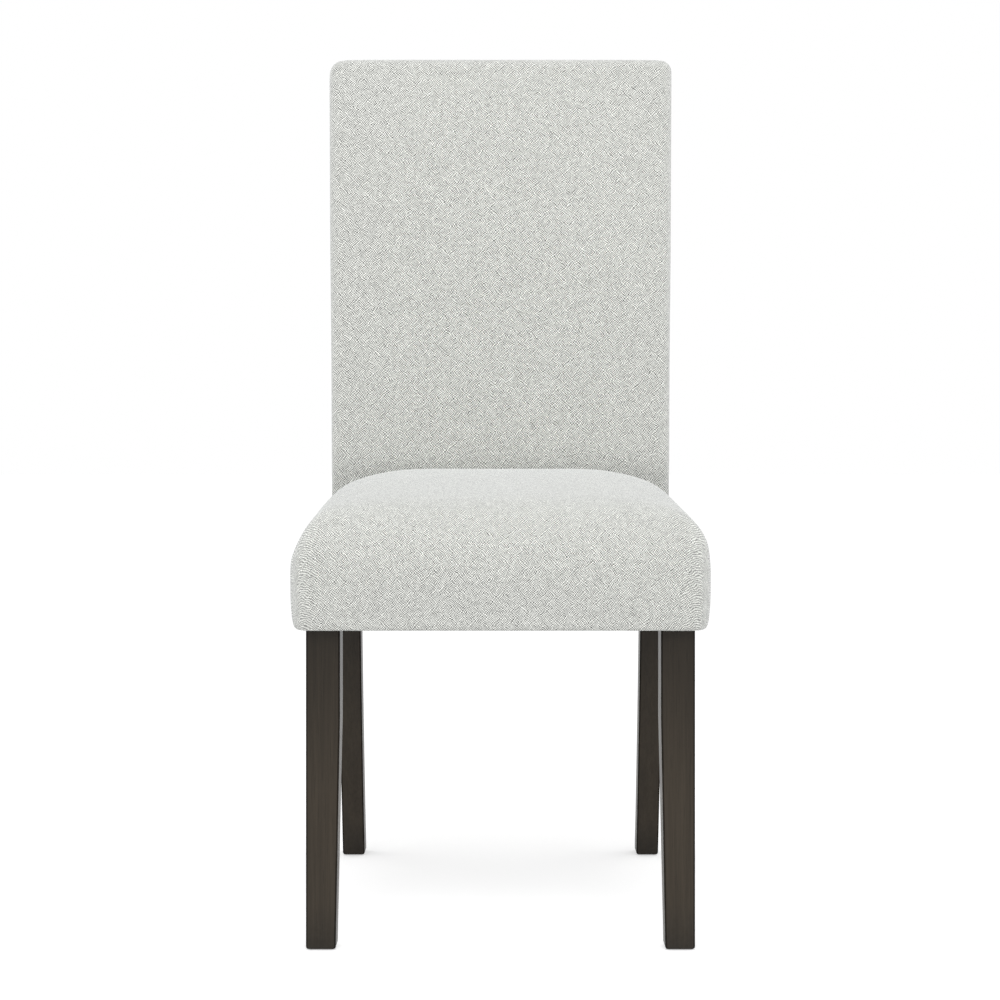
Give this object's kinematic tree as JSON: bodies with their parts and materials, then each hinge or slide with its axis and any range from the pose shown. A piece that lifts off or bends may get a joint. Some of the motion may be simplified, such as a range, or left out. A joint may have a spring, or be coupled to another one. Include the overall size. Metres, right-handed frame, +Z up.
{
  "type": "parsons chair",
  "caption": "Tall-backed parsons chair upholstered all over in pale tweed, with a crowned seat, straight front legs and swept rear legs.",
  "frame": {"origin": "middle of the floor rectangle that the chair fills, on the floor under the glides", "axes": "+Z up; -Y towards the front of the seat; +X towards the sitter's left hand, which is the viewer's right"},
  "size_m": [0.448, 0.563, 1.03],
  "materials": {
    "leg_wood": "satin stained dark brown-grey",
    "frame_wood": "planed, unfinished",
    "cover_fabric": "tight tweed weave in pale grey",
    "foam": "cut upholstery foam",
    "wadding": "soft bonded fibre",
    "webbing": "woven jute",
    "dust_cloth": "black non-woven cloth",
    "board": "pressed fibreboard",
    "screw_steel": "bright zinc plated",
    "glide_nylon": "moulded dark nylon"
  },
  "bodies": {
    "root": {"front_leg_right": "leg_wood", "front_leg_left": "leg_wood", "rear_leg_right": "leg_wood", "rear_leg_left": "leg_wood", "front_glide_right": "glide_nylon", "front_glide_left": "glide_nylon", "rear_glide_right": "glide_nylon", "rear_glide_left": "glide_nylon", "front_rail": "frame_wood", "rear_rail": "frame_wood", "side_rail_right": "frame_wood", "side_rail_left": "frame_wood", "front_corner_block_right": "frame_wood", "front_corner_block_left": "frame_wood", "rear_corner_block_right": "frame_wood", "rear_corner_block_left": "frame_wood", "lower_back_rail": "frame_wood", "middle_back_rail": "frame_wood", "top_back_rail": "frame_wood", "front_block_front_screw_right": "screw_steel", "front_block_front_screw_left": "screw_steel", "front_block_side_screw_right": "screw_steel", "front_block_side_screw_left": "screw_steel", "rear_block_rear_screw_right": "screw_steel", "rear_block_rear_screw_left": "screw_steel", "rear_block_side_screw_right": "screw_steel", "rear_block_side_screw_left": "screw_steel", "seat_strap_back_1": "webbing", "seat_strap_back_2": "webbing", "seat_strap_back_3": "webbing", "seat_strap_across_1": "webbing", "seat_strap_across_2": "webbing", "seat_strap_across_3": "webbing", "seat_platform_cloth": "webbing", "back_strap_1": "webbing", "back_strap_2": "webbing", "back_strap_3": "webbing", "back_cloth": "webbing", "seat_foam": "foam", "back_foam": "foam", "seat_wadding": "wadding", "back_wadding": "wadding", "seat_cover": "cover_fabric", "back_cover": "cover_fabric", "outside_back_panel": "cover_fabric", "dust_cover": "dust_cloth", "outside_back_board": "board", "tack_strip_right": "board", "tack_strip_left": "board"}
  },
  "joints": []
}
